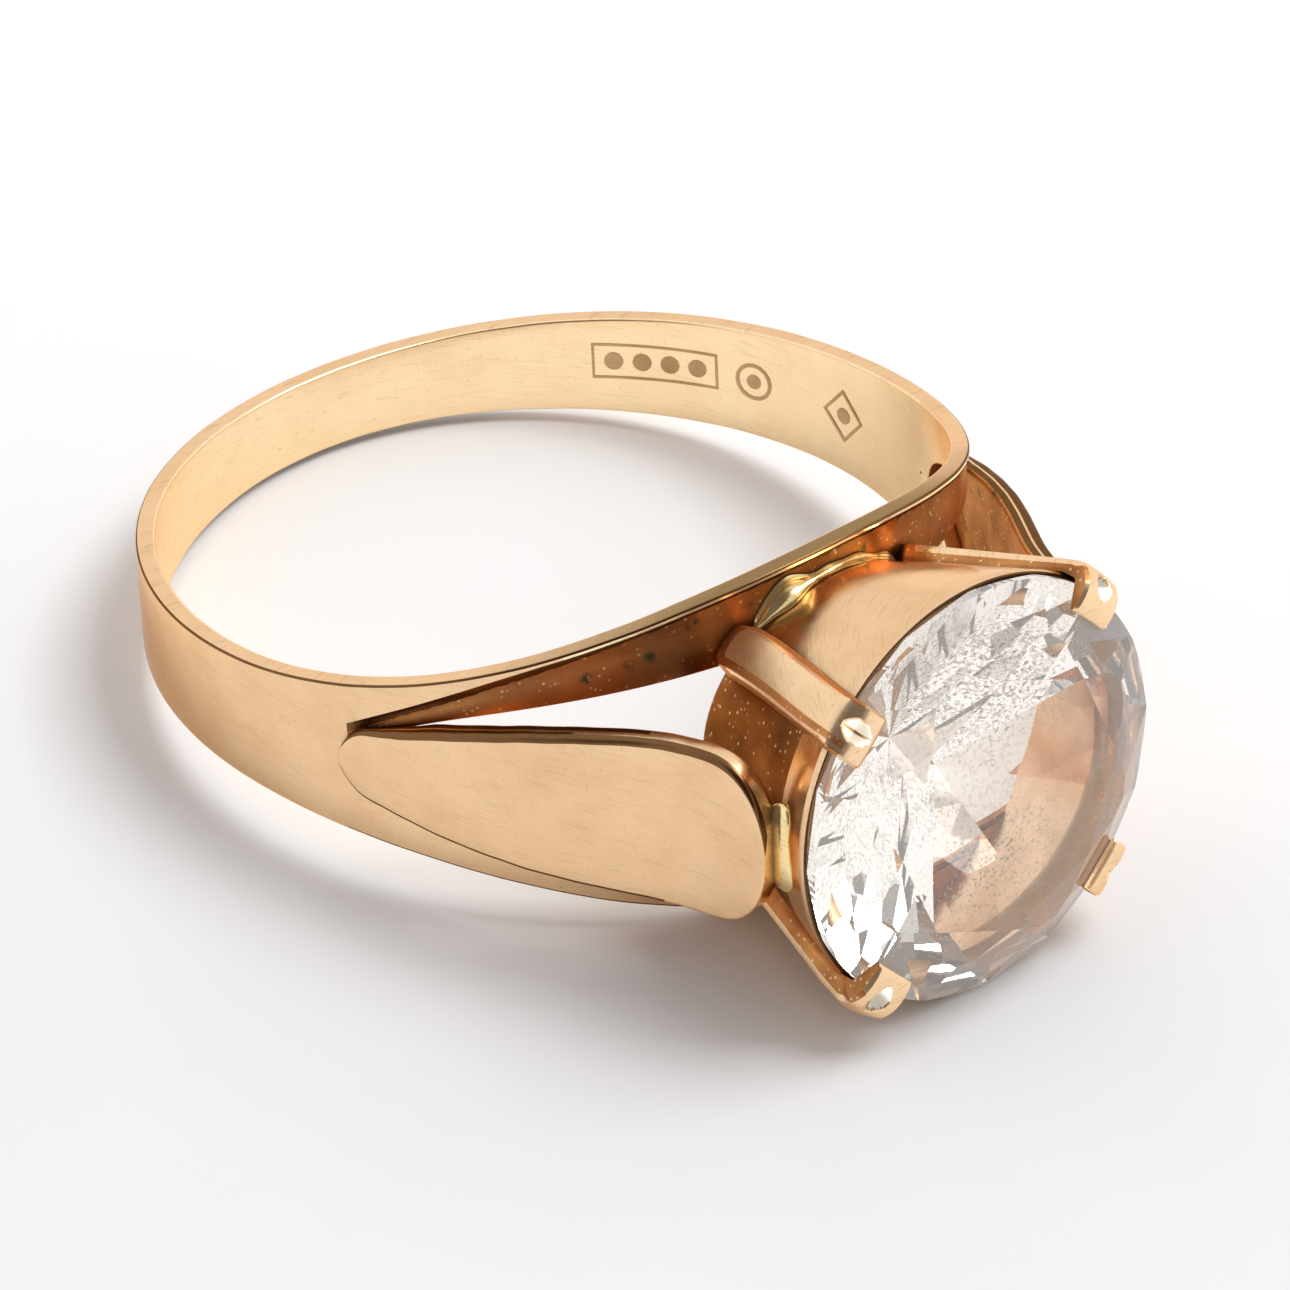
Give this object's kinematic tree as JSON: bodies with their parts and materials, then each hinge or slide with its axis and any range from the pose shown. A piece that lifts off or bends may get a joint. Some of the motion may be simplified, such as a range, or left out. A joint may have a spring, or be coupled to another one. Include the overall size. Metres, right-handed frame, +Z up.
{
  "type": "engagement ring",
  "caption": "Gold finger ring with a pierced widening band, leaf-shaped shoulder plates and a conical claw collet holding a round brilliant-cut clear stone, lying on its side.",
  "frame": {"origin": "centre of the finger hole, at mid width of the band", "axes": "+X from the finger hole towards the stone, level; +Y across the shoulders; +Z up, with the ring lying on its side and its finger axis leaning back from Z by 9.68 degrees"},
  "size_m": [0.0234, 0.0178, 0.0093],
  "materials": {
    "gold": "polished 18 ct yellow gold with a rose cast, finely scratched",
    "gold_collet": "polished gold outside, as-soldered and darker in the recesses",
    "solder": "pale yellow gold solder, uneven",
    "crystal": "clear colourless rock crystal, facet cut"
  },
  "bodies": {
    "root": {"band": "gold", "bridge_upper": "gold", "bridge_lower": "gold", "leaf_left": "gold", "leaf_right": "gold", "collet": "gold_collet", "bearing": "gold_collet", "claw_upper_left": "gold", "claw_upper_right": "gold", "claw_lower_left": "gold", "claw_lower_right": "gold", "solder_upper": "solder", "solder_lower": "solder", "solder_left": "solder", "solder_right": "solder", "stone": "crystal"}
  },
  "joints": []
}
